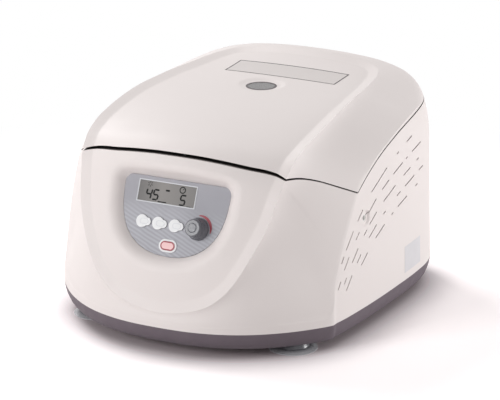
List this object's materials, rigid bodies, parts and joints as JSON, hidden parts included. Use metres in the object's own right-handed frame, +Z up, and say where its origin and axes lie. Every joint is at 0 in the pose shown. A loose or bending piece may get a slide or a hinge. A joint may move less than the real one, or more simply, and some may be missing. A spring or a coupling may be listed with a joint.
{
  "type": "microplate centrifuge",
  "caption": "Benchtop spinner for standard microplates: hinged dished lid, steel chamber, swing-out rotor with plate buckets, sloping control panel.",
  "frame": {"origin": "middle of the bounding box at the height of the bench", "axes": "+X to the right as seen from the front, +Y to the rear, +Z up"},
  "size_m": [0.3304, 0.3772, 0.2353],
  "materials": {
    "shell": "satin moulded plastic",
    "base": "fine textured moulded plastic",
    "foot": "matt",
    "steel_plate": "zinc plated",
    "bowl": "brushed stainless",
    "fastener": "plain",
    "guard": "semi-gloss",
    "black_part": "matt",
    "rubber_part": "matt",
    "motor": "painted",
    "rotor": "anodised",
    "nut": "satin",
    "panel": "printed film, satin",
    "display": "clear",
    "board": "solder mask",
    "key": "satin",
    "start": "satin",
    "knob": "satin",
    "liner": "painted",
    "window": "clear, tinted"
  },
  "bodies": {
    "base": {"base_pan": "base", "chassis_plate": "steel_plate", "foot_front_left": "foot", "foot_front_right": "foot", "foot_rear_left": "foot", "foot_rear_right": "foot", "foot_screws": "fastener", "housing": "shell", "release_bush": "shell", "hinge_post_left": "steel_plate", "hinge_post_right": "steel_plate", "hinge_pins": "fastener", "rotor_bowl": "bowl", "bowl_gasket": "rubber_part", "bowl_standoffs": "fastener", "guard_ring": "guard", "motor_dampers": "rubber_part", "motor_mount_plate": "steel_plate", "motor_stator": "motor", "motor_bearings": "fastener", "shaft_boot": "rubber_part", "control_panel": "panel", "display_window": "display", "display_module": "black_part", "control_board": "board", "start_ring": "key", "encoder": "steel_plate", "latch_housing": "black_part", "latch_solenoid": "steel_plate", "rear_panel": "steel_plate", "power_inlet": "black_part", "inlet_blades": "fastener", "switch_frame": "black_part", "fan_frame": "black_part", "power_board": "board"},
    "lid": {"lid_shell": "shell", "lid_liner": "liner", "lid_seal": "rubber_part", "lid_window": "window", "window_tube": "black_part", "latch_hook": "steel_plate", "hinge_leaves": "steel_plate", "liner_screws": "fastener"},
    "rotor": {"motor_shaft": "fastener", "rotor_yoke": "rotor", "trunnion_pins": "fastener", "rotor_nut": "nut"},
    "plate_bucket_right": {"bucket_right": "bowl"},
    "plate_bucket_left": {"bucket_left": "bowl"},
    "fan": {"fan_rotor": "black_part"},
    "knob": {"knob_spindle": "fastener", "control_knob": "knob", "knob_cap": "knob"},
    "key_speed": {"speed_key": "key"},
    "key_time": {"time_key": "key"},
    "key_pulse": {"pulse_key": "key"},
    "key_start": {"start_button": "start"},
    "rocker": {"power_rocker": "black_part"},
    "bolt": {"latch_bolt": "fastener"},
    "fuse_holder": {"fuse_drawer": "black_part"}
  },
  "joints": [
    {"name": "lid_hinge", "type": "hinge", "parent": "base", "child": "lid", "pos_m": [0, 0.183, 0.2005], "axis": [-1, 0, 0], "range_deg": [0, 78]},
    {"name": "rotor_spin", "type": "hinge", "parent": "base", "child": "rotor", "pos_m": [0, 0.038, 0.118], "axis": [0, 0, 1], "continuous": true},
    {"name": "bucket_right_swing", "type": "hinge", "parent": "rotor", "child": "plate_bucket_right", "pos_m": [0.066, 0.038, 0.132], "axis": [0, -1, 0], "range_deg": [0, 90]},
    {"name": "bucket_left_swing", "type": "hinge", "parent": "rotor", "child": "plate_bucket_left", "pos_m": [-0.066, 0.038, 0.132], "axis": [0, 1, 0], "range_deg": [0, 90]},
    {"name": "fan_spin", "type": "hinge", "parent": "base", "child": "fan", "pos_m": [-0.045, 0.175, 0.0545], "axis": [0, 1, 0], "continuous": true},
    {"name": "knob_turn", "type": "hinge", "parent": "base", "child": "knob", "pos_m": [0.0305, -0.15369, 0.12707], "axis": [0, -0.9259, 0.3778], "continuous": true},
    {"name": "speed_key_press", "type": "slide", "parent": "base", "child": "key_speed", "axis": [0, 0.9259, -0.3778], "range_m": [0, 0.0008], "stiffness_N_per_m": 800},
    {"name": "time_key_press", "type": "slide", "parent": "base", "child": "key_time", "axis": [0, 0.9259, -0.3778], "range_m": [0, 0.0008], "stiffness_N_per_m": 800},
    {"name": "pulse_key_press", "type": "slide", "parent": "base", "child": "key_pulse", "axis": [0, 0.9259, -0.3778], "range_m": [0, 0.0008], "stiffness_N_per_m": 800},
    {"name": "start_press", "type": "slide", "parent": "base", "child": "key_start", "axis": [0, 0.9259, -0.3778], "range_m": [0, 0.0008], "stiffness_N_per_m": 800},
    {"name": "rocker_tilt", "type": "hinge", "parent": "base", "child": "rocker", "pos_m": [0.0565, 0.1779, 0.054], "axis": [1, 0, 0], "range_deg": [-20, 0]},
    {"name": "bolt_slide", "type": "slide", "parent": "base", "child": "bolt", "axis": [-1, 0, 0], "range_m": [0, 0.008], "stiffness_N_per_m": 300},
    {"name": "fuse_pull", "type": "slide", "parent": "base", "child": "fuse_holder", "axis": [0, 1, 0], "range_m": [0, 0.012]}
  ]
}
